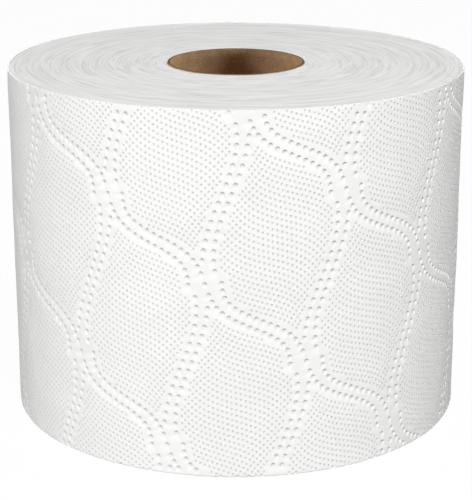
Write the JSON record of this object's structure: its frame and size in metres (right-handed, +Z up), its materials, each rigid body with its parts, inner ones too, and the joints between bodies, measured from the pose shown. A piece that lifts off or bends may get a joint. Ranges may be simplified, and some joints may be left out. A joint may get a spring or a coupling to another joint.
{
  "type": "toilet paper roll",
  "caption": "Full roll of soft embossed toilet paper wound on a brown board tube, standing on its end, with an open bore through it for a spindle.",
  "frame": {"origin": "on the core's axis, at the lower end of the roll, where it stands", "axes": "+Z up along the core's axis. The front of the picture faces -Y, and the tail of the web is at the back, towards +Y"},
  "size_m": [0.1298, 0.13, 0.1],
  "materials": {
    "tissue": "soft matte embossed tissue, white",
    "core_board": "matte brown kraft board, spiral wound"
  },
  "bodies": {
    "root": {"core_tube": "core_board", "paper_roll": "tissue"}
  },
  "joints": []
}
